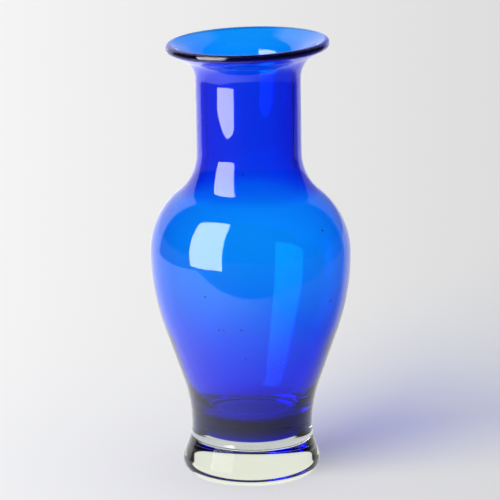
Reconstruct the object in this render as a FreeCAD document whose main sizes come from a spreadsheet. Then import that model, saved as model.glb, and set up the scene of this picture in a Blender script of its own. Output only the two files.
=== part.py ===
import FreeCAD, Part
import math
import os
import Sketcher

# A blown vase of cased glass, 250 mm tall: a cobalt bubble runs from the lip down to a thick
# rounded bottom, a clear gather covers it, and a thick clear foot is fused on below the crease.
# The origin is the middle of the base, and +Z is the axis that the glass was turned about.

# Every driving size is in millimetres, and the one angle is in degrees.
SIZES = [
    ("foot_height", 21.5, "table to the crease between the foot and the body"),
    ("foot_flare", 4.7, "how far the foot stands out past the waist"),
    ("foot_bulge_height", 7.5, "table to the widest part of the foot"),
    ("base_inset", 5.2, "widest part of the foot to the edge of its flat base"),
    ("foot_brow_radius", 8, "rounding above the widest part of the foot"),
    ("foot_flank_radius", 150, "hollow side of the foot, seen in section"),
    ("crease_radius", 0.8, "rounding on each side of the crease"),
    ("crease_depth", 0.35, "how far the crease lies inside the waist"),
    ("waist_rise", 6, "crease to the narrowest part of the body"),
    ("waist_radius", 34.5, "narrowest part of the body"),
    ("waist_curve", 27.7, "height of the hollow curve above the waist"),
    ("belly_rise", 101.5, "waist to the widest part of the body"),
    ("belly_radius", 56.8, "widest part of the body"),
    ("belly_drop", 44.4, "height of the round curve below the widest part"),
    ("shoulder_radius", 44.3, "round of the shoulder, seen in section"),
    ("shoulder_rise", 57.5, "widest part of the body to the foot of the neck"),
    ("neck_radius", 29.6, "outside of the straight neck"),
    ("neck_rise", 63.5, "foot of the neck to the top of the lip"),
    ("flare_radius", 14.8, "bend from the neck into the flare, outside"),
    ("flare_angle", 62, "tilt of the flare away from upright"),
    ("flare_reach", 16.4, "outside of the neck to the outside of the lip"),
    ("lip_radius", 2.4, "rounding of the lip, half of its thickness"),
    ("casing_wall", 2, "clear glass over the blue, from the belly up"),
    ("casing_floor", 0.8, "clear glass between the blue and the foot"),
    ("blue_wall", 1.15, "blue glass of the belly, where the bubble was blown out most"),
    ("neck_blue_wall", 2.8, "blue glass of the neck"),
    ("lip_blue", 1.8, "blue glass of the flare and the lip"),
    ("blue_floor", 12.9, "blue glass under the cavity"),
    ("bubble_inset", 4.75, "waist to the widest part of the bubble's rounded bottom"),
    ("bubble_corner", 14, "rounding of the bubble's bottom"),
    ("cavity_inset", 3, "waist to the widest part of the cavity's rounded bottom"),
    ("cavity_corner", 16, "rounding of the cavity's bottom"),
]

doc = FreeCAD.newDocument("cased_vase")
sheet = doc.addObject("Spreadsheet::Sheet", "Sizes")
for row, (alias, value, meaning) in enumerate(SIZES, start=1):
    sheet.set(f"A{row}", meaning)
    sheet.set(f"B{row}", str(value))
    sheet.setAlias(f"B{row}", alias)
doc.recompute()

# Heights of the turning points, each one a stack of the rises below it.
WAIST = "Sizes.foot_height + Sizes.waist_rise"
BELLY = f"{WAIST} + Sizes.belly_rise"
NECK = f"{BELLY} + Sizes.shoulder_rise"
TOP = f"{NECK} + Sizes.neck_rise"

# The three walls: how far each lies inside the vase's outer surface at the belly and at the neck,
# which side of the middle of the lip's round its flare passes, below or above, and how far from it.
BELOW, ABOVE = 1, -1
OUTSIDE = ("0", "0", BELOW, "Sizes.lip_radius")
BLUE = ("Sizes.casing_wall", "Sizes.casing_wall", ABOVE, "Sizes.lip_radius - Sizes.lip_blue")
CAVITY = (
    "Sizes.casing_wall + Sizes.blue_wall",
    "Sizes.casing_wall + Sizes.neck_blue_wall",
    ABOVE,
    "Sizes.lip_radius",
)

FOOT = "Sizes.waist_radius + Sizes.foot_flare"
SEAM = "Sizes.waist_radius - Sizes.crease_depth"
LIP_CENTRE = "Sizes.neck_radius + Sizes.flare_reach - Sizes.lip_radius"
LIP_HEIGHT = f"{TOP} - Sizes.lip_radius"

# The casing's part of the lip's half round, near enough for a first drawing of it.
CASING_LIP_SHARE = 0.58

# The two rounded bottoms: height of the floor, widest radius and rounding.
BUBBLE_BOWL = (
    "Sizes.foot_height + Sizes.casing_floor",
    "Sizes.waist_radius - Sizes.bubble_inset",
    "Sizes.bubble_corner",
)
CAVITY_BOWL = (
    "Sizes.foot_height + Sizes.casing_floor + Sizes.blue_floor",
    "Sizes.waist_radius - Sizes.cavity_inset",
    "Sizes.cavity_corner",
)


def size(expression):
    """Value of an expression in the named sizes."""
    return float(sheet.evalExpression(expression))


class Edge:
    """An edge of a section, with its lower or inner end first."""

    def __init__(self, number, first, last):
        self.number = number
        self.first = (number, first)
        self.last = (number, last)
        self.centre = (number, 3)


class HalfSection:
    """Half of a turned piece's section: X is the distance from the axis, Y the height.

    Each edge is drawn near its place, and the constraints bring it there. Their values are
    expressions in the named sizes. A stretch is settled before the next one is drawn on it.
    """

    def __init__(self, piece):
        plane = [p for p in piece.Origin.OriginFeatures if p.Role == "XZ_Plane"][0]
        self.sketch = piece.newObject("Sketcher::SketchObject", piece.Name + "_section")
        self.sketch.AttachmentSupport = (plane, [""])
        self.sketch.MapMode = "FlatFace"

    def line(self, first, last):
        ends = [FreeCAD.Vector(*first), FreeCAD.Vector(*last)]
        return Edge(self.sketch.addGeometry(Part.LineSegment(*ends)), 1, 2)

    def arc(self, first, last, radius, hollow=False):
        """An arc that bulges away from the axis on its way up, or in a hollow towards it."""
        start, end = (last, first) if hollow else (first, last)
        across = FreeCAD.Vector(*end) - FreeCAD.Vector(*start)
        offset = math.sqrt(max(radius ** 2 - across.Length ** 2 / 4, 0)) / across.Length
        middle = (FreeCAD.Vector(*start) + FreeCAD.Vector(*end)) / 2
        centre = middle + FreeCAD.Vector(-across.y, across.x) * offset
        angles = [math.atan2(y - centre.y, x - centre.x) for x, y in (start, end)]
        circle = Part.Circle(centre, FreeCAD.Vector(0, 0, 1), radius)
        number = self.sketch.addGeometry(Part.ArcOfCircle(circle, *angles))
        return Edge(number, 2, 1) if hollow else Edge(number, 1, 2)

    def mark(self, out, up):
        """A point that other edges are measured from."""
        return (self.sketch.addGeometry(Part.Point(FreeCAD.Vector(out, up)), True), 1)

    def join(self, one, other):
        self.sketch.addConstraint(Sketcher.Constraint("Coincident", *one, *other))

    def blend(self, one, other):
        """Joins two ends so that one edge runs smoothly into the other."""
        self.sketch.addConstraint(Sketcher.Constraint("Tangent", *one, *other))

    def level(self, edge):
        self.sketch.addConstraint(Sketcher.Constraint("Horizontal", edge.number))

    def upright(self, edge):
        self.sketch.addConstraint(Sketcher.Constraint("Vertical", edge.number))

    def on_axis(self, point):
        self.sketch.addConstraint(Sketcher.Constraint("PointOnObject", *point, -2))

    def measure(self, kind, places, expression):
        value = math.radians(size(expression)) if kind == "Angle" else size(expression)
        number = self.sketch.addConstraint(Sketcher.Constraint(kind, *places, value))
        self.sketch.setExpression(f"Constraints[{number}]", expression)

    def out(self, point, expression):
        self.measure("DistanceX", point, expression)

    def up(self, point, expression):
        self.measure("DistanceY", point, expression)

    def round(self, edge, expression):
        self.measure("Radius", (edge.number,), expression)

    def settle(self):
        """Brings what is drawn so far to its place."""
        if self.sketch.solve() != 0:
            raise RuntimeError(f"{self.sketch.Label} can't be drawn with these sizes")

    def close_on_axis(self, low, high):
        """Draws the stretch of the axis between two edges that end on it."""
        axis = self.line((0, size("Sizes.foot_height")), (0, size(WAIST)))
        self.join(axis.first, low)
        self.join(axis.last, high)


def flank(section, start, hollow_height, wall):
    """Draws the straight flank and the round curve that ends at the belly.

    The hollow height is that of the curve below the start, which shares in the widening.
    """
    inset = wall[0]
    drop = size("Sizes.belly_drop")
    top = (size(f"Sizes.belly_radius - ({inset})"), size(BELLY))
    rise = top[1] - start[1] - drop / 2 + hollow_height / 2
    lean = math.atan((top[0] - start[0]) / rise)
    bend = drop / math.sin(lean)
    turn = (top[0] - bend * (1 - math.cos(lean)), top[1] - drop)
    side = section.line(start, turn)
    belly = section.arc(turn, top, bend)
    section.blend(side.last, belly.first)
    section.up(belly.first, f"{BELLY} - Sizes.belly_drop")
    section.out(belly.last, f"Sizes.belly_radius - ({inset})")
    section.up(belly.last, BELLY)
    section.up(belly.centre, BELLY)
    return side, belly


def bowl(section, floor, widest, corner, wall):
    """Draws a rounded bottom that widens up to the belly, and returns its bottom and belly."""
    height = size(floor)
    turn = size(corner)
    foot = (size(widest) - turn, height)
    start = (size(widest), height + turn)
    bottom = section.line((0, height), foot)
    heel = section.arc(foot, start, turn)
    side, belly = flank(section, start, 0, wall)
    section.on_axis(bottom.first)
    section.up(bottom.first, floor)
    section.level(bottom)
    section.blend(bottom.last, heel.first)
    section.round(heel, corner)
    section.out(heel.centre, f"{widest} - {corner}")
    section.blend(heel.last, side.first)
    section.settle()
    return bottom, belly


def skirt(section):
    """Draws the outside from the crease over the waist up to the belly."""
    crease = size("Sizes.crease_radius")
    seam = (size(SEAM), size("Sizes.foot_height"))
    nib = (seam[0] + crease, seam[1] + crease)
    waist = (size("Sizes.waist_radius"), size(WAIST))
    curve = size("Sizes.waist_curve")
    rise = size("Sizes.belly_rise - (Sizes.waist_curve + Sizes.belly_drop) / 2")
    lean = math.atan(size("Sizes.belly_radius - Sizes.waist_radius") / rise)
    sweep = curve / math.sin(lean)
    start = (waist[0] + sweep * (1 - math.cos(lean)), waist[1] + curve)
    bottom = section.line((0, seam[1]), seam)
    rounding = section.arc(seam, nib, crease)
    lower = section.arc(nib, waist, sweep, hollow=True)
    upper = section.arc(waist, start, sweep, hollow=True)
    side, belly = flank(section, start, curve, OUTSIDE)
    section.on_axis(bottom.first)
    section.up(bottom.first, "Sizes.foot_height")
    section.level(bottom)
    section.blend(bottom.last, rounding.first)
    section.out(rounding.centre, SEAM)
    section.round(rounding, "Sizes.crease_radius")
    section.blend(rounding.last, lower.first)
    section.out(lower.last, "Sizes.waist_radius")
    section.up(lower.last, WAIST)
    section.up(lower.centre, WAIST)
    section.join(lower.last, upper.first)
    section.up(upper.centre, WAIST)
    section.up(upper.last, f"{WAIST} + Sizes.waist_curve")
    section.blend(upper.last, side.first)
    section.settle()
    return bottom, belly


def lip_point(offset, tilt):
    """Place near the lip's centre, an offset away from it square to the flare."""
    return (size(LIP_CENTRE) + offset * math.cos(tilt), size(LIP_HEIGHT) - offset * math.sin(tilt))


def neck(section, belly, wall):
    """Draws shoulder, straight neck and flare, and returns the flare, its upper end still free."""
    belly_inset, inset, side, lip_offset = wall
    low = (size(f"Sizes.belly_radius - ({belly_inset})"), size(BELLY))
    foot = (size(f"Sizes.neck_radius - ({inset})"), size(NECK))
    shoulder = size(f"Sizes.shoulder_radius - ({belly_inset})")
    rise = foot[1] - low[1]
    reach = foot[0] - low[0] + shoulder
    hollow = (reach ** 2 + rise ** 2 - shoulder ** 2) / (2 * (shoulder - reach))
    convex_share = shoulder / (shoulder + hollow)
    turn = (low[0] - shoulder + (reach + hollow) * convex_share, low[1] + rise * convex_share)
    tilt = math.radians(size("Sizes.flare_angle"))
    bend = size(f"Sizes.flare_radius + {inset}")
    lip = lip_point(side * size(lip_offset), tilt)
    flare_out = foot[0] + bend * (1 - math.cos(tilt))
    flare_start = (flare_out, lip[1] - (lip[0] - flare_out) / math.tan(tilt))
    top = (foot[0], flare_start[1] - bend * math.sin(tilt))
    round_over = section.arc(low, turn, shoulder)
    sweep = section.arc(turn, foot, hollow, hollow=True)
    throat = section.line(foot, top)
    flare_bend = section.arc(top, flare_start, bend, hollow=True)
    flare = section.line(flare_start, lip)
    lip_centre = section.mark(size(LIP_CENTRE), size(LIP_HEIGHT))
    section.join(belly.last, round_over.first)
    section.up(round_over.centre, BELLY)
    section.round(round_over, f"Sizes.shoulder_radius - ({belly_inset})")
    section.blend(round_over.last, sweep.first)
    section.out(sweep.last, f"Sizes.neck_radius - ({inset})")
    section.up(sweep.last, NECK)
    section.up(sweep.centre, NECK)
    section.join(sweep.last, throat.first)
    section.upright(throat)
    section.blend(throat.last, flare_bend.first)
    section.round(flare_bend, f"Sizes.flare_radius + {inset}")
    section.blend(flare_bend.last, flare.first)
    section.measure("Angle", (flare.number,), "90 - Sizes.flare_angle")
    section.out(lip_centre, LIP_CENTRE)
    section.up(lip_centre, LIP_HEIGHT)
    section.measure("Distance", (*lip_centre, flare.number), lip_offset)
    section.settle()
    return flare


def lip_round(section, first_share, last_share):
    """Draws one share of the lip's half round, which the blue wall's flare cuts in two."""
    radius = size("Sizes.lip_radius")
    tilt = math.radians(size("Sizes.flare_angle"))
    first = lip_point(radius, tilt - math.pi * first_share)
    last = lip_point(radius, tilt - math.pi * last_share)
    lip = section.arc(first, last, radius)
    section.out(lip.centre, LIP_CENTRE)
    section.up(lip.centre, LIP_HEIGHT)
    return lip


def turned_piece(name, draw):
    """Turns a closed half section about the axis into a named piece."""
    piece = doc.addObject("PartDesign::Body", name)
    piece.Label = name
    section = HalfSection(piece)
    draw(section)
    doc.recompute()
    turning = piece.newObject("PartDesign::Revolution", name + "_turned")
    turning.Profile = section.sketch
    turning.ReferenceAxis = (section.sketch, ["V_Axis"])
    turning.Angle = 360
    section.sketch.Visibility = False
    piece.Placement = FreeCAD.Placement()
    doc.recompute()
    return piece


def draw_clear_foot(section):
    """A thick foot with a flat base, a rounded edge and a hollow flank below the crease."""
    base_end = f"{FOOT} - Sizes.base_inset"
    crease = size("Sizes.crease_radius")
    brow_radius = size("Sizes.foot_brow_radius")
    hollow = size("Sizes.foot_flank_radius")
    inset = size("Sizes.base_inset")
    rim = (size(base_end), 0)
    bulge = (size(FOOT), size("Sizes.foot_bulge_height"))
    seam = (size(SEAM), size("Sizes.foot_height"))
    brow_centre = FreeCAD.Vector(bulge[0] - brow_radius, bulge[1])
    nib_centre = FreeCAD.Vector(seam[0], seam[1] - crease)
    rise = nib_centre - brow_centre
    along = (rise.Length ** 2 + (hollow + brow_radius) ** 2 - (hollow + crease) ** 2) / (2 * rise.Length)
    across = math.sqrt((hollow + brow_radius) ** 2 - along ** 2)
    hollow_centre = brow_centre + (rise * along + FreeCAD.Vector(rise.y, -rise.x) * across) / rise.Length
    to_hollow = hollow_centre - brow_centre
    brow_end = brow_centre + to_hollow * brow_radius / to_hollow.Length
    to_hollow = hollow_centre - nib_centre
    nib = nib_centre + to_hollow * crease / to_hollow.Length
    base = section.line((0, 0), rim)
    edge = section.arc(rim, bulge, (inset ** 2 + bulge[1] ** 2) / (2 * inset))
    brow = section.arc(bulge, (brow_end.x, brow_end.y), brow_radius)
    side = section.arc((brow_end.x, brow_end.y), (nib.x, nib.y), hollow, hollow=True)
    rounding = section.arc((nib.x, nib.y), seam, crease)
    top = section.line((0, seam[1]), seam)
    section.join(base.first, (-1, 1))
    section.level(base)
    section.out(base.last, base_end)
    section.join(base.last, edge.first)
    section.out(edge.last, FOOT)
    section.up(edge.last, "Sizes.foot_bulge_height")
    section.up(edge.centre, "Sizes.foot_bulge_height")
    section.join(edge.last, brow.first)
    section.up(brow.centre, "Sizes.foot_bulge_height")
    section.round(brow, "Sizes.foot_brow_radius")
    section.blend(brow.last, side.first)
    section.round(side, "Sizes.foot_flank_radius")
    section.blend(side.last, rounding.first)
    section.round(rounding, "Sizes.crease_radius")
    section.out(rounding.centre, SEAM)
    section.blend(rounding.last, top.last)
    section.level(top)
    section.on_axis(top.first)
    section.up(top.first, "Sizes.foot_height")
    section.close_on_axis(base.first, top.first)


def draw_clear_casing(section):
    """The clear gather: outside from the crease to the lip, inside face to face with the blue."""
    bottom, belly = skirt(section)
    flare = neck(section, belly, OUTSIDE)
    floor, blue_belly = bowl(section, *BUBBLE_BOWL, BLUE)
    blue_flare = neck(section, blue_belly, BLUE)
    lip = lip_round(section, 0, CASING_LIP_SHARE)
    section.blend(flare.last, lip.first)
    section.join(lip.last, blue_flare.last)
    section.close_on_axis(bottom.first, floor.first)


def draw_blue_bubble(section):
    """The cobalt bubble, with the cavity inside and the lip's round at its upper end."""
    floor, belly = bowl(section, *BUBBLE_BOWL, BLUE)
    blue_flare = neck(section, belly, BLUE)
    cavity_floor, cavity_belly = bowl(section, *CAVITY_BOWL, CAVITY)
    cavity_flare = neck(section, cavity_belly, CAVITY)
    lip = lip_round(section, CASING_LIP_SHARE, 1)
    section.join(lip.first, blue_flare.last)
    section.blend(lip.last, cavity_flare.last)
    section.close_on_axis(floor.first, cavity_floor.first)


pieces = [
    turned_piece("clear_foot", draw_clear_foot),
    turned_piece("clear_casing", draw_clear_casing),
    turned_piece("blue_bubble", draw_blue_bubble),
]

for item in doc.Objects:
    if {"Invalid", "Error"} & set(item.State):
        raise RuntimeError(f"{item.Label} failed: {item.State}")
for sketch in doc.findObjects("Sketcher::SketchObject"):
    if sketch.solve() != 0 or not sketch.FullyConstrained:
        raise RuntimeError(f"{sketch.Label} isn't fully set: {sketch.DoF} degrees of freedom left")
for piece in pieces:
    if piece.Shape.isNull() or not piece.Shape.isValid() or len(piece.Shape.Solids) != 1:
        raise RuntimeError(f"{piece.Label} has no valid single solid")

os.makedirs("parts", exist_ok=True)
for piece in pieces:
    piece.Shape.exportStep(f"parts/{piece.Label}.step")
    box = piece.Shape.optimalBoundingBox()
    print(f"{piece.Label}: {piece.Shape.Volume / 1000:.2f} cm3, {box.XLength:.2f} x {box.YLength:.2f}"
          f" x {box.ZLength:.2f} mm, from z {box.ZMin:.2f}")
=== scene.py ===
import math

import bmesh
import bpy
from mathutils import Matrix, Vector


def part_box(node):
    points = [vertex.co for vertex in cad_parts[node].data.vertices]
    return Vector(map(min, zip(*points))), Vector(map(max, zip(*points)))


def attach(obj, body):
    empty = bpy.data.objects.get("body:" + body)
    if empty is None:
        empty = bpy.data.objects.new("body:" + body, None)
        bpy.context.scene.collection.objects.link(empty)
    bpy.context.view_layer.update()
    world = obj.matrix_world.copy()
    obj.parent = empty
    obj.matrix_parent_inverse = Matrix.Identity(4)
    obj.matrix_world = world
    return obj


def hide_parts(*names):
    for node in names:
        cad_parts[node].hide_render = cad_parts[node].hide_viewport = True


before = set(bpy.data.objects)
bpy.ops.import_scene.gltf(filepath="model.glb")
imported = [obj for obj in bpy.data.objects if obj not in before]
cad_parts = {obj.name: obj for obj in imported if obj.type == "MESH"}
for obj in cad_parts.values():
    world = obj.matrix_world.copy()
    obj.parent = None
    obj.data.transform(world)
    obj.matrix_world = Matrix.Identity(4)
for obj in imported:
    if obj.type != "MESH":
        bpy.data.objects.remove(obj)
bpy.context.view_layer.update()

# The camera. It stands 1.76 m in front of the vase and 0.58 m above the table, tilted down, with a
# long lens, so that the lip shows as a flat ellipse and the foot is seen a little from above.
CAMERA_PLACE = (-0.0008, -1.7633, 0.5782)
CAMERA_TILT_DOWN = math.radians(14.276)
LENS = 231.2
SENSOR_WIDTH = 36
NEAREST_SEEN = 0.01
FARTHEST_SEEN = 50

camera = bpy.data.objects.new("camera", bpy.data.cameras.new("camera"))
camera.data.lens = LENS
camera.data.sensor_width = SENSOR_WIDTH
camera.data.clip_start = NEAREST_SEEN
camera.data.clip_end = FARTHEST_SEEN
camera.location = CAMERA_PLACE
camera.rotation_euler = (math.pi / 2 - CAMERA_TILT_DOWN, 0, 0)
bpy.context.scene.collection.objects.link(camera)
bpy.context.scene.camera = camera


# The backdrop. White paper hangs behind the table in a dark room. Straight lines of sight meet an
# even pale surround on all sides, and only what thick glass bends or a skin of glass mirrors sees
# where the backdrop ends and how dark the room beside it is. Through the hollow body the surround
# is painted half again as bright, in thick glass the backdrop is painted a little brighter, and in
# the skin's reflections it is painted lighter at the left than at the right.
class Value:
    """A node's output. Used in an expression, it adds the Math nodes that work it out."""

    def __init__(self, shader, socket):
        self.shader = shader
        self.socket = socket

    def maths(self, operation, *values):
        inputs = dict(enumerate(values))
        return self.shader.add("Math", inputs, operation=operation)

    def __add__(self, other):
        return self.maths("ADD", self, other)

    def __radd__(self, other):
        return self.maths("ADD", other, self)

    def __sub__(self, other):
        return self.maths("SUBTRACT", self, other)

    def __rsub__(self, other):
        return self.maths("SUBTRACT", other, self)

    def __mul__(self, other):
        return self.maths("MULTIPLY", self, other)

    def __rmul__(self, other):
        return self.maths("MULTIPLY", other, self)

    def __truediv__(self, other):
        return self.maths("DIVIDE", self, other)

    def __pow__(self, other):
        return self.maths("POWER", self, other)

    def __gt__(self, other):
        return self.maths("GREATER_THAN", self, other)

    def __abs__(self):
        return self.maths("ABSOLUTE", self)

    def least(self, other):
        return self.maths("MINIMUM", self, other)

    def most(self, other):
        return self.maths("MAXIMUM", self, other)


class Shader:
    """The nodes of a material or of the world."""

    def __init__(self, owner):
        owner.use_nodes = True
        self.tree = owner.node_tree
        self.tree.nodes.clear()

    def add(self, kind, inputs=None, output=0, **settings):
        """Adds a node and returns one of its outputs: settings first, then values or links."""
        node = self.tree.nodes.new("ShaderNode" + kind)
        for name, value in settings.items():
            setattr(node, name, value)
        for name, value in (inputs or {}).items():
            if isinstance(value, Value):
                self.tree.links.new(value.socket, node.inputs[name])
            else:
                node.inputs[name].default_value = value
        return Value(self, node.outputs[output]) if node.outputs else node

    def outputs(self, value, *names):
        return [Value(self, value.socket.node.outputs[name]) for name in names]

    def place(self, source):
        """The three coordinates of a point or a direction."""
        where = self.add("TexCoord", output=source)
        return self.outputs(self.add("SeparateXYZ", {0: where}), "X", "Y", "Z")

    def edge(self, distance, softness):
        """0 on the minus side of a boundary and 1 on its plus side, with a soft change."""
        return self.add("Math", {0: distance / softness + 0.5}, operation="ADD", use_clamp=True)


# A ray counts how often it was mirrored, scattered or let through a skin of glass: over ONCE it was
# so at least once, over ONE_WALL it left the first wall, over TWO_WALLS it crossed the hollow body.
ONCE = 0.5
ONE_WALL = 1.5
TWO_WALLS = 3.5

PAPER_LIGHT = 0.80
HOLLOW_PAINTED_GAIN = 0.5
FILL_LIGHT = 0.49
THICK_GLASS_LIGHT = 0.86
MIRRORED_FALL = -1.3
MIRRORED_LEFT = 0.35
MIRRORED_RIGHT = -0.44
ROOM_LIGHT = 0.03
LOW_ROOM_LIGHT = 0.22
LOW_ROOM_FALL = 0.16
LOW_ROOM_WIDTH = 0.8
LOW_ROOM_TOP = 0.02
LOW_ROOM_SOFTNESS = 0.06
BACKDROP_HALF_ANGLE = math.radians(49)
BACKDROP_TURN = math.radians(3)
BACKDROP_TOP = math.radians(51)
SIDE_SOFTNESS = 0.03
TOP_SOFTNESS = 0.08

world = bpy.data.worlds.new("studio")
bpy.context.scene.world = world
world.cycles.sampling_method = "NONE"
shader = Shader(world)
east, north, height = shader.place("Generated")
level = (east * east + north * north) ** 0.5
facing = (north * math.cos(BACKDROP_TURN) - east * math.sin(BACKDROP_TURN)) / level
sides = shader.edge(facing - math.cos(BACKDROP_HALF_ANGLE), SIDE_SOFTNESS)
backdrop = sides * shader.edge(math.sin(BACKDROP_TOP) - height, TOP_SOFTNESS)
ray = shader.add("LightPath")
mirrored, scattered = shader.outputs(ray, "Glossy Depth", "Diffuse Depth")
through = shader.outputs(ray, "Transmission Depth")[0]
mirrored = mirrored > ONCE
hollow = (through > TWO_WALLS) * (1 - mirrored)
bent = (through > ONCE).most(mirrored) * (1 - hollow)
skin_mirrored = mirrored * (1 - (through > ONCE))
# Painted reflection: in the glass skin the backdrop is lighter at the left and darker at the right.
mirrored_painted_fall = (MIRRORED_FALL * east).least(MIRRORED_LEFT).most(MIRRORED_RIGHT)
backdrop_light = THICK_GLASS_LIGHT + skin_mirrored * (mirrored_painted_fall + PAPER_LIGHT - THICK_GLASS_LIGHT)
low_room = LOW_ROOM_LIGHT - LOW_ROOM_FALL * shader.edge(east, LOW_ROOM_WIDTH)
low_room = shader.edge(LOW_ROOM_TOP - height, LOW_ROOM_SOFTNESS) * low_room
room = (ROOM_LIGHT + low_room) * (1 - backdrop) + backdrop_light * backdrop
# Painted light: seen through the hollow body the surround is half again as bright.
seen = PAPER_LIGHT * (1 + HOLLOW_PAINTED_GAIN * hollow)
seen = seen * (1 - bent) + room * bent
light = seen + (scattered > ONCE) * (FILL_LIGHT - seen)
shader.add("OutputWorld", {0: shader.add("Background", {0: light})})

# The table. One wide sheet of white paper lies under the vase and sweeps up into the backdrop. In
# the glass it ends where the real sheet does, at its front, left and right edges. In the glass's
# reflections it is a painted light, brighter on the side of the lamp; its own colour has painted
# shade, lighter at the left than at the right; and seen through the hollow body it has a painted
# glow.
FLOOR_DROP = 0.0003
FLOOR_RADIUS = 8.0
FLOOR_SIDES = 96
FLOOR_WHITE = 0.84
SHADE = 1.4
SHADE_SOURCE = 1.7633
SHADE_NEAREST = 0.5
SHADE_LIGHTEST = 1.12
SHADE_DARKEST = 0.88
SHEET_FRONT = 0.28
SHEET_LEFT = 0.607
SHEET_LEFT_SLANT = 0.16
SHEET_RIGHT_EDGES = ((0.395, -0.16, 0.787), (0.757, 0.125, 2.39))
SHEET_SWEEP = 0.45
SHEET_SOFTNESS = 0.02
GLEAM = 0.95
GLEAM_FALL = 4.5
GLEAM_MOST = 1.6
GLEAM_LEAST = 0.25
LEFT_GLEAM = 0.85
LEFT_SOFTNESS = 0.12
BACK_GLEAM = 1.3
BACK_START = 0.03
BACK_SOFTNESS = 0.1

bm = bmesh.new()
bmesh.ops.create_circle(bm, cap_ends=True, segments=FLOOR_SIDES, radius=FLOOR_RADIUS)
bmesh.ops.translate(bm, verts=bm.verts, vec=(0, 0, -FLOOR_DROP))
mesh = bpy.data.meshes.new("floor")
bm.to_mesh(mesh)
bm.free()
floor = bpy.data.objects.new("floor", mesh)
bpy.context.scene.collection.objects.link(floor)
paper = bpy.data.materials.new("white_paper")
shader = Shader(paper)
east, north, height = shader.place("Object")
front = north + SHEET_FRONT
left = east + SHEET_LEFT + SHEET_LEFT_SLANT * north
right, far_right = [north - up - slope * (east - out) for out, up, slope in SHEET_RIGHT_EDGES]
behind = (north - SHEET_SWEEP).least(north * math.tan(BACKDROP_HALF_ANGLE) - abs(east))
inside = front.least(left).least(right.least(far_right)).most(behind)
sheet = shader.edge(inside, SHEET_SOFTNESS)
ray = shader.add("LightPath")
mirrored, through = shader.outputs(ray, "Glossy Depth", "Transmission Depth")
mirrored = mirrored > ONCE
hollow = (through > ONE_WALL) * (through > TWO_WALLS).most(north > SHEET_SWEEP) * (1 - mirrored)
bent = (through > ONCE).most(mirrored) * (1 - hollow)
# Painted reflection: in the glass the paper shows as a light, brighter at the left than at the
# right.
gleam = (GLEAM - GLEAM_FALL * east).least(GLEAM_MOST).most(GLEAM_LEAST)
gleam = gleam + shader.edge(north - east, LEFT_SOFTNESS) * (LEFT_GLEAM - gleam).most(0)
gleam = gleam - shader.edge(north - BACK_START, BACK_SOFTNESS) * (gleam - BACK_GLEAM).most(0)
# Painted shade: the paper's own colour is lighter at the left and darker at the right, fanning out
# from a point in front of the vase.
shade = 1 - SHADE * east / (north + SHADE_SOURCE).most(SHADE_NEAREST)
shade = shade.least(SHADE_LIGHTEST).most(SHADE_DARKEST)
white = shader.add("BsdfDiffuse", {0: FLOOR_WHITE * shade})
# Painted glow: seen through the hollow body the paper gives off extra light, so that it shows
# brighter there.
painted_through_glow = shader.add("Emission", {0: hollow * PAPER_LIGHT * HOLLOW_PAINTED_GAIN})
lit = shader.add("AddShader", {0: white, 1: painted_through_glow})
painted_reflection = shader.add("Emission", {0: gleam})
seen = shader.add("MixShader", {0: mirrored, 1: lit, 2: painted_reflection})
beyond = shader.add("BsdfTransparent")
surface = shader.add("MixShader", {0: bent * (1 - sheet), 1: seen, 2: beyond})
shader.add("OutputMaterial", {0: surface})
mesh.materials.append(paper)

# The key light on the table. It is as broad as a soft box and stands at the left of the camera, so
# that the vase's shadow falls softly to the right and back.
KEY_AZIMUTH = math.radians(-44)
KEY_ELEVATION = math.radians(32)
KEY_WIDTH = math.radians(48)
KEY_STRENGTH = 2.85

key = bpy.data.objects.new("key_light", bpy.data.lights.new("key_light", "SUN"))
key.data.angle = KEY_WIDTH
key.data.energy = KEY_STRENGTH
key.rotation_euler = (math.pi / 2 - KEY_ELEVATION, 0, KEY_AZIMUTH)
key.visible_glossy = False
key.visible_transmission = False
bpy.context.scene.collection.objects.link(key)

# The same soft box as the glass shows it: a cloth panel at the left of the camera, a little wider
# at its slanting top. Each corner has its turn in degrees, which is minus to the left, its distance
# from the vase and its level.
SOFT_BOX_LIGHT = 11
SOFT_BOX_CORNERS = [
    (-31.3, 1.16, -0.050),
    (-36, 0.954, 1.60),
    (-82, 0.954, 1.02),
    (-70, 1.16, -0.044),
]

bm = bmesh.new()
for azimuth, distance, up in SOFT_BOX_CORNERS:
    turn = math.radians(azimuth)
    bm.verts.new((distance * math.sin(turn), -distance * math.cos(turn), up))
bm.faces.new(bm.verts)
mesh = bpy.data.meshes.new("soft_box")
bm.to_mesh(mesh)
bm.free()
soft_box = bpy.data.objects.new("soft_box", mesh)
bpy.context.scene.collection.objects.link(soft_box)
cloth = bpy.data.materials.new("soft_box_cloth")
cloth.cycles.emission_sampling = "NONE"
shader = Shader(cloth)
mirrored = shader.add("LightPath", output="Glossy Depth") > ONCE
nothing = shader.add("BsdfTransparent")
lit = shader.add("Emission", {"Color": (1, 1, 1, 1), "Strength": SOFT_BOX_LIGHT})
shader.add("OutputMaterial", {0: shader.add("MixShader", {0: mirrored, 1: nothing, 2: lit})})
mesh.materials.append(cloth)
soft_box.visible_camera = False
soft_box.visible_diffuse = False
soft_box.visible_shadow = False

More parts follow.
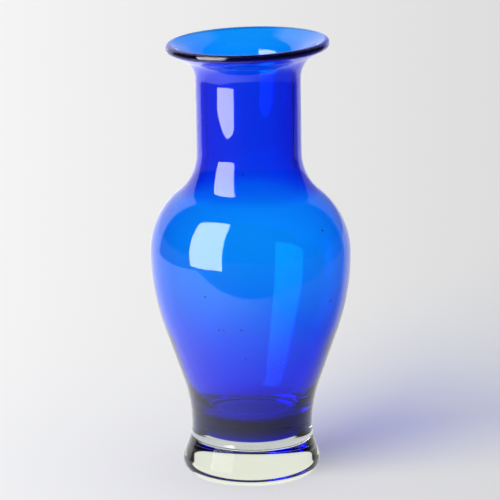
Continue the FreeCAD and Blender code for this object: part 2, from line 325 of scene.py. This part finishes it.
# The blue bubble: blown first, of cobalt glass, thin at the belly where it was blown out most and
# thick in the neck and the bottom. Its inside is the cavity, and its upper end rounds the lip.
SEAM_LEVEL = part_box("clear_foot")[1].z
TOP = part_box("blue_bubble")[1].z
BELLY_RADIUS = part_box("clear_casing")[1].x
WAIST_LEVEL = 0.0275
WAIST_RADIUS = 0.0345
BELLY_LEVEL = 0.129
BELLY_DROP = 0.0444
SHOULDER_RADIUS = 0.0443
NECK_LEVEL = 0.1865
NECK_RADIUS = 0.0296
FLARE_BEND = 0.0148
FLARE_TILT = math.radians(62)
LIP_RADIUS = 0.0024
LIP_CENTRE = Vector((0.0436, 0, TOP - LIP_RADIUS))
CLEAR_WALL = 0.002
BLUE_WALL = 0.00115
NECK_BLUE_WALL = 0.0028
LIP_BLUE = 0.0018
SEAM_GAP = 0.00004
BLUE_FLOOR_LEVEL = 0.0223
BUBBLE_RADIUS = 0.02975
BUBBLE_CORNER = 0.014
CAVITY_FLOOR_LEVEL = 0.0352
CAVITY_RADIUS = 0.0315
CAVITY_CORNER = 0.016
GRAIN = 0.0012
ARC_GRAIN = math.radians(5)
LEAN_GUESS = 0.1
LEAN_TRIES = 40
SECTORS = 8
SECTOR_STEPS = 24
SEED_ROUNDNESS = 2


class Template:
    """Half of a turned piece's section in the XZ plane, drawn as one run of lines and arcs."""

    def __init__(self, bm, out, up):
        self.bm = bm
        self.tip = bm.verts.new((out, 0, up))

    def sweep(self, target, steps, **how):
        swept = bmesh.ops.spin(self.bm, geom=[self.tip], steps=steps, **how)
        self.tip = [part for part in swept["geom_last"] if isinstance(part, bmesh.types.BMVert)][0]
        if (self.tip.co - target).length > GRAIN / 100:
            raise RuntimeError(f"the template ends at {self.tip.co[:]} instead of {target[:]}")
        self.tip.co = target
        return self

    def line(self, out, up):
        target = Vector((out, 0, up))
        way = target - self.tip.co
        steps = max(1, round(way.length / GRAIN))
        return self.sweep(target, steps, cent=(0, 0, 0), axis=(0, 1, 0), angle=0, dvec=way / steps)

    def arc(self, centre, out, up):
        """Goes round a centre to a point, the shorter way."""
        centre = Vector((centre[0], 0, centre[-1]))
        target = Vector((out, 0, up))
        first, last = self.tip.co - centre, target - centre
        turn = math.atan2(first.z * last.x - first.x * last.z, first.dot(last))
        steps = max(round(abs(turn) * first.length / GRAIN), round(abs(turn) / ARC_GRAIN), 2)
        return self.sweep(target, steps, cent=centre, axis=(0, 1, 0), angle=turn, dvec=(0, 0, 0))


def bowl(section, floor_level, widest, corner, belly_radius):
    """A rounded bottom from the axis, then the straight flank and the curve up to the belly."""
    heel = (widest - corner, floor_level + corner)
    rise = BELLY_LEVEL - BELLY_DROP - heel[1]
    lean = LEAN_GUESS
    for _ in range(LEAN_TRIES):
        run = belly_radius - heel[0] - BELLY_DROP * lean
        lean = (run * (1 - lean ** 2) - corner * (1 + lean ** 2)) / (2 * rise)
    lean = 2 * math.atan(lean)
    section.line(heel[0], floor_level)
    section.arc(heel, heel[0] + corner * math.cos(lean), heel[1] - corner * math.sin(lean))
    side(section, lean, belly_radius)


def side(section, lean, belly_radius):
    """The straight flank, at its lean from upright, and the curve up to the belly."""
    bend = BELLY_DROP / math.sin(lean)
    section.line(belly_radius - bend * (1 - math.cos(lean)), BELLY_LEVEL - BELLY_DROP)
    section.arc((belly_radius - bend, BELLY_LEVEL), belly_radius, BELLY_LEVEL)


def lip_chord(offset):
    """The middle and the upper end of a line through the lip's round, drawn along the flare.

    It passes the centre of the round at the offset, which is plus on the flare's outer side.
    """
    across = Vector((math.cos(FLARE_TILT), 0, -math.sin(FLARE_TILT)))
    along = Vector((math.sin(FLARE_TILT), 0, math.cos(FLARE_TILT)))
    middle = LIP_CENTRE + across * offset
    return middle, middle + along * math.sqrt(LIP_RADIUS ** 2 - offset ** 2)


def neck(section, belly_inset, neck_inset, flare_offset):
    """Shoulder, sweep, straight neck and flare, which ends on the lip's round."""
    shoulder = SHOULDER_RADIUS - belly_inset
    radius = NECK_RADIUS - neck_inset
    middle = BELLY_RADIUS - SHOULDER_RADIUS
    reach = radius - middle
    rise = NECK_LEVEL - BELLY_LEVEL
    sweep = (reach ** 2 + rise ** 2 - shoulder ** 2) / (2 * (shoulder - reach))
    share = shoulder / (shoulder + sweep)
    section.arc((middle, BELLY_LEVEL), middle + (reach + sweep) * share, BELLY_LEVEL + rise * share)
    section.arc((radius + sweep, NECK_LEVEL), radius, NECK_LEVEL)
    passing, end = lip_chord(flare_offset)
    bend = FLARE_BEND + neck_inset
    bend_end = radius + bend * (1 - math.cos(FLARE_TILT))
    bend_top = passing.z - (passing.x - bend_end) / math.tan(FLARE_TILT)
    bend_foot = bend_top - bend * math.sin(FLARE_TILT)
    section.line(radius, bend_foot)
    section.arc((radius + bend, bend_foot), bend_end, bend_top)
    section.line(end.x, end.z)


# How far the hand-made vase leans, how the foot steps aside, and how the lip tips up at the right.
LEAN = 0.0027
LEAN_GROWTH = 1.4
FOOT_STEP = 0.0004
LIP_TIP = math.radians(2.1)
TIP_FROM = 0.225
TIP_TO = 0.243


def ease(share):
    """A smooth start and end for a share between 0 and 1."""
    share = min(max(share, 0), 1)
    return share * share * (3 - 2 * share)


def hand_made(point):
    """Moves a point of the true turned shape to where the glassblower left it."""
    above = max(point.z - WAIST_LEVEL, 0) / (TOP - WAIST_LEVEL)
    aside = FOOT_STEP * ease(point.z / WAIST_LEVEL) - LEAN * above ** LEAN_GROWTH
    tip = LIP_TIP * ease((point.z - TIP_FROM) / (TIP_TO - TIP_FROM))
    return Vector((point.x + aside, point.y, point.z + point.x * math.tan(tip)))


def turned(name, outlines, seeds=()):
    """Spins outlines about the axis into one closed mesh, and marks which faces meet the air.

    Seeds are the tiny air bubbles caught in the wall, each with its turn to the right in degrees,
    its distance from the axis, its level and its radius.
    """
    bm = bmesh.new()
    mark = bm.faces.layers.float.new("open_face")
    about = {"cent": (0, 0, 0), "axis": (0, 0, 1), "dvec": (0, 0, 0)}
    sector = 2 * math.pi / SECTORS
    templates = []
    for meets_air, start, draw in outlines:
        done = {*bm.verts, *bm.edges}
        draw(Template(bm, *start))
        templates.append((meets_air, [part for part in (*bm.verts, *bm.edges) if part not in done]))
    for meets_air, template in templates:
        done = set(bm.faces)
        bmesh.ops.spin(bm, geom=template, angle=sector, steps=SECTOR_STEPS, **about)
        for face in set(bm.faces) - done:
            face[mark] = meets_air
    bmesh.ops.spin(bm, geom=[*bm.verts, *bm.edges, *bm.faces], angle=2 * math.pi - sector,
                   steps=SECTORS - 1, use_duplicate=True, **about)
    bmesh.ops.remove_doubles(bm, verts=bm.verts, dist=SEAM_GAP / 10)
    bmesh.ops.recalc_face_normals(bm, faces=bm.faces)
    for turn, out, up, radius in seeds:
        aside = math.radians(turn)
        place = Matrix.Translation((out * math.sin(aside), -out * math.cos(aside), up))
        ball = bmesh.ops.create_icosphere(
            bm, subdivisions=SEED_ROUNDNESS, radius=radius, matrix=place)["verts"]
        skin = list({face for vertex in ball for face in vertex.link_faces})
        bmesh.ops.reverse_faces(bm, faces=skin)
        for face in skin:
            face[mark] = 1.0
    for vertex in bm.verts:
        vertex.co = hand_made(vertex.co)
    for face in bm.faces:
        face.smooth = True
    mesh = bpy.data.meshes.new(name)
    bm.to_mesh(mesh)
    bm.free()
    piece = bpy.data.objects.new(name, mesh)
    bpy.context.scene.collection.objects.link(piece)
    return piece


COBALT = (0.0, 0.78, 0.982, 1)
COBALT_DENSITY = 3000
GLASS_BEND = 1.5
SWELL_SCALE = 22.0
RIPPLE_SCALE = 160.0
RIPPLE_SHARE = 0.03
RELIEF_DEPTH = 0.0001
# Painted glow in the blue glass near the lip: how many turns back a ray needs, the level above
# which it shows, and how bright it is.
GLOW_TURNS = 2.5
GLOW_LEVEL = 0.15
PAINTED_LIP_GLOW = 0.5


def glass(name, colour, absorption, shine=1.0, painted_glow=0.0):
    """Fire-polished glass: a hard smooth skin where it meets the air, none where it is fused.

    A painted glow, when given, makes the glass give off light above a set level where a ray has
    been turned back more than twice, though the glass is no lamp.
    """
    material = bpy.data.materials.new(name)
    shader = Shader(material)
    where = shader.add("TexCoord", output="Object")
    swell = shader.add("TexNoise", {"Vector": where, "Scale": SWELL_SCALE, "Detail": 1.0})
    ripple = shader.add("TexNoise", {"Vector": where, "Scale": RIPPLE_SCALE, "Detail": 2.0})
    relief = swell + ripple * RIPPLE_SHARE
    bump = shader.add("Bump", {"Height": relief, "Strength": 1.0, "Distance": RELIEF_DEPTH})
    open_face = shader.add("Attribute", output="Fac", attribute_name="open_face")
    ray = shader.add("LightPath")
    shadow, scattered = shader.outputs(ray, "Is Shadow Ray", "Is Diffuse Ray")
    turns = shader.outputs(ray, "Glossy Depth")[0]
    skin = {
        "Base Color": (1, 1, 1, 1), "Roughness": 0.0, "IOR": GLASS_BEND,
        "Transmission Weight": 1.0, "Specular Tint": (shine, shine, shine, 1),
        "Normal": bump, "Alpha": open_face * (1 - shadow.most(scattered)),
    }
    if painted_glow:
        # Painted glow: the glass gives off light above the level after more than two turns back.
        height = shader.place("Object")[2]
        skin["Emission Color"] = painted_glow * (turns > GLOW_TURNS) * (height > GLOW_LEVEL)
        skin["Emission Strength"] = 1.0
    surface = shader.add("BsdfPrincipled", skin)
    volume = shader.add("VolumeAbsorption", {"Color": colour, "Density": absorption})
    shader.add("OutputMaterial", {"Surface": surface, "Volume": volume})
    return material


def bubble_outside(section):
    wall = CLEAR_WALL + SEAM_GAP
    floor_level = BLUE_FLOOR_LEVEL + SEAM_GAP
    bowl(section, floor_level, BUBBLE_RADIUS - SEAM_GAP, BUBBLE_CORNER, BELLY_RADIUS - wall)
    neck(section, wall, wall, LIP_BLUE - LIP_RADIUS - SEAM_GAP)


def cavity(section):
    """The inside of the bubble, and round the lip to the seam with the casing."""
    wall = CLEAR_WALL + BLUE_WALL
    bowl(section, CAVITY_FLOOR_LEVEL, CAVITY_RADIUS, CAVITY_CORNER, BELLY_RADIUS - wall)
    neck(section, wall, CLEAR_WALL + NECK_BLUE_WALL, -LIP_RADIUS)
    seam_end = lip_chord(LIP_BLUE - LIP_RADIUS - SEAM_GAP)[1]
    section.arc(LIP_CENTRE, seam_end.x, seam_end.z)


bubble = turned("cobalt_bubble", [
    (0.0, (0, BLUE_FLOOR_LEVEL + SEAM_GAP), bubble_outside),
    (1.0, (0, CAVITY_FLOOR_LEVEL), cavity),
])
# The cobalt glass gets a painted glow near the lip.
bubble.data.materials.append(
    glass("cobalt_glass", COBALT, COBALT_DENSITY, painted_glow=PAINTED_LIP_GLOW))
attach(bubble, "root")
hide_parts("blue_bubble")

# The clear casing: a gather of clear glass over the whole bubble, fused to it face to face. It
# ends in the crease above the foot, where the vase was necked in, and forms the lip's outer side.
# Fourteen seeds, tiny air bubbles, are caught just under its skin.
CREASE_ROUND = 0.0008
SEAM_RADIUS = 0.03415
WAIST_CURVE = 0.0277
CASING_BOTTOM_LEVEL = SEAM_LEVEL + SEAM_GAP / 2
CLEAR = (0.952, 0.97, 0.90, 1)
CLEAR_DENSITY = 30
SEED_DEPTH = 0.001
SEED_PLACES = [
    (-27, 0.0561, 0.1154, 0.00065), (-20, 0.0528, 0.0964, 0.0005), (-17, 0.0527, 0.0961, 0.0006),
    (-6, 0.0530, 0.0970, 0.00065), (53, 0.0520, 0.0932, 0.00065), (22, 0.0463, 0.0760, 0.0008),
    (16, 0.0450, 0.0723, 0.00065), (-4, 0.0473, 0.0790, 0.00055), (-1, 0.0391, 0.0550, 0.00065),
    (-5, 0.0365, 0.0460, 0.0005), (-69, 0.0473, 0.1563, 0.00065), (-7, 0.0303, 0.1798, 0.0005),
    (51, 0.0521, 0.1488, 0.00065), (54, 0.0552, 0.1084, 0.0008),
]


def casing_outside(section):
    """The crease, the waist, the body and the neck, and round the lip to the seam."""
    nib = (SEAM_RADIUS, CASING_BOTTOM_LEVEL + CREASE_ROUND)
    depth = WAIST_RADIUS - SEAM_RADIUS
    rise = WAIST_LEVEL - nib[1]
    under = (depth ** 2 + rise ** 2 - CREASE_ROUND ** 2) / (2 * (CREASE_ROUND - depth))
    share = CREASE_ROUND / (CREASE_ROUND + under)
    section.arc(nib, nib[0] + (depth + under) * share, nib[1] + rise * share)
    section.arc((WAIST_RADIUS + under, WAIST_LEVEL), WAIST_RADIUS, WAIST_LEVEL)
    curves = WAIST_CURVE + BELLY_DROP
    straight = BELLY_LEVEL - WAIST_LEVEL - curves
    lean = LEAN_GUESS
    for _ in range(LEAN_TRIES):
        lean = (BELLY_RADIUS - WAIST_RADIUS) / (curves + 2 * straight / (1 - lean ** 2))
    lean = 2 * math.atan(lean)
    sweep = WAIST_CURVE / math.sin(lean)
    start = (WAIST_RADIUS + sweep * (1 - math.cos(lean)), WAIST_LEVEL + WAIST_CURVE)
    section.arc((WAIST_RADIUS + sweep, WAIST_LEVEL), *start)
    side(section, lean, BELLY_RADIUS)
    neck(section, 0, 0, LIP_RADIUS)
    seam_end = lip_chord(LIP_BLUE - LIP_RADIUS)[1]
    section.arc(LIP_CENTRE, seam_end.x, seam_end.z)


def casing_bottom(section):
    section.line(SEAM_RADIUS, CASING_BOTTOM_LEVEL)


def casing_inside(section):
    bowl(section, BLUE_FLOOR_LEVEL, BUBBLE_RADIUS, BUBBLE_CORNER, BELLY_RADIUS - CLEAR_WALL)
    neck(section, CLEAR_WALL, CLEAR_WALL, LIP_BLUE - LIP_RADIUS)


casing = turned("clear_gather", [
    (0.0, (0, CASING_BOTTOM_LEVEL), casing_bottom),
    (1.0, (SEAM_RADIUS, CASING_BOTTOM_LEVEL), casing_outside),
    (0.0, (0, BLUE_FLOOR_LEVEL), casing_inside),
], [(turn, out - SEED_DEPTH, up, radius) for turn, out, up, radius in SEED_PLACES])
casing.data.materials.append(glass("clear_glass", CLEAR, CLEAR_DENSITY))
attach(casing, "root")
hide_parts("clear_casing")

# The clear foot: a thick pad of clear glass fused on below the crease, flared and rounded while
# hot, and ground flat underneath so that the vase stands without rocking.
FOOT_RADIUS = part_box("clear_foot")[1].x
FOOT_TOP_LEVEL = SEAM_LEVEL - SEAM_GAP / 2
BULGE_LEVEL = 0.0075
BASE_INSET = 0.0052
BROW = 0.008
FOOT_HOLLOW = 0.15
FOOT_SHINE = 0.12


def meeting(one, one_radius, other, other_radius):
    """The outer point at these distances from two centres."""
    way = other - one
    along = (way.length ** 2 + one_radius ** 2 - other_radius ** 2) / (2 * way.length)
    across = math.sqrt(one_radius ** 2 - along ** 2)
    return one + (way * along + Vector((way.z, 0, -way.x)) * across) / way.length


def foot_side(section):
    """The flat base, the rounded edge, the hollow flank and the crease."""
    edge_radius = (BASE_INSET ** 2 + BULGE_LEVEL ** 2) / (2 * BASE_INSET)
    brow = Vector((FOOT_RADIUS - BROW, 0, BULGE_LEVEL))
    nib = Vector((SEAM_RADIUS, 0, FOOT_TOP_LEVEL - CREASE_ROUND))
    flank = meeting(brow, FOOT_HOLLOW + BROW, nib, FOOT_HOLLOW + CREASE_ROUND)
    section.line(FOOT_RADIUS - BASE_INSET, 0)
    section.arc((FOOT_RADIUS - edge_radius, BULGE_LEVEL), FOOT_RADIUS, BULGE_LEVEL)
    brow_end = brow.lerp(flank, BROW / (FOOT_HOLLOW + BROW))
    section.arc(brow, brow_end.x, brow_end.z)
    nib_end = nib.lerp(flank, CREASE_ROUND / (FOOT_HOLLOW + CREASE_ROUND))
    section.arc(flank, nib_end.x, nib_end.z)
    section.arc(nib, SEAM_RADIUS, FOOT_TOP_LEVEL)


def foot_top(section):
    section.line(SEAM_RADIUS, FOOT_TOP_LEVEL)


foot = turned("foot_pad", [
    (1.0, (0, 0), foot_side),
    (0.0, (0, FOOT_TOP_LEVEL), foot_top),
])
foot.data.materials.append(glass("foot_glass", CLEAR, CLEAR_DENSITY, shine=FOOT_SHINE))
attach(foot, "root")
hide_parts("clear_foot")

# How far light is followed: thick glass turns it back many times, and it passes the fused seams
# without a change. The picture shows its values as they are, with no film look.
LIGHT_STEPS = 32
PAPER_STEPS = 3
FUSED_STEPS = 64

scene = bpy.context.scene
scene.cycles.max_bounces = LIGHT_STEPS
scene.cycles.transmission_bounces = LIGHT_STEPS
scene.cycles.glossy_bounces = LIGHT_STEPS
scene.cycles.diffuse_bounces = PAPER_STEPS
scene.cycles.transparent_max_bounces = FUSED_STEPS
scene.cycles.caustics_reflective = False
scene.cycles.caustics_refractive = False
scene.view_settings.view_transform = "Standard"
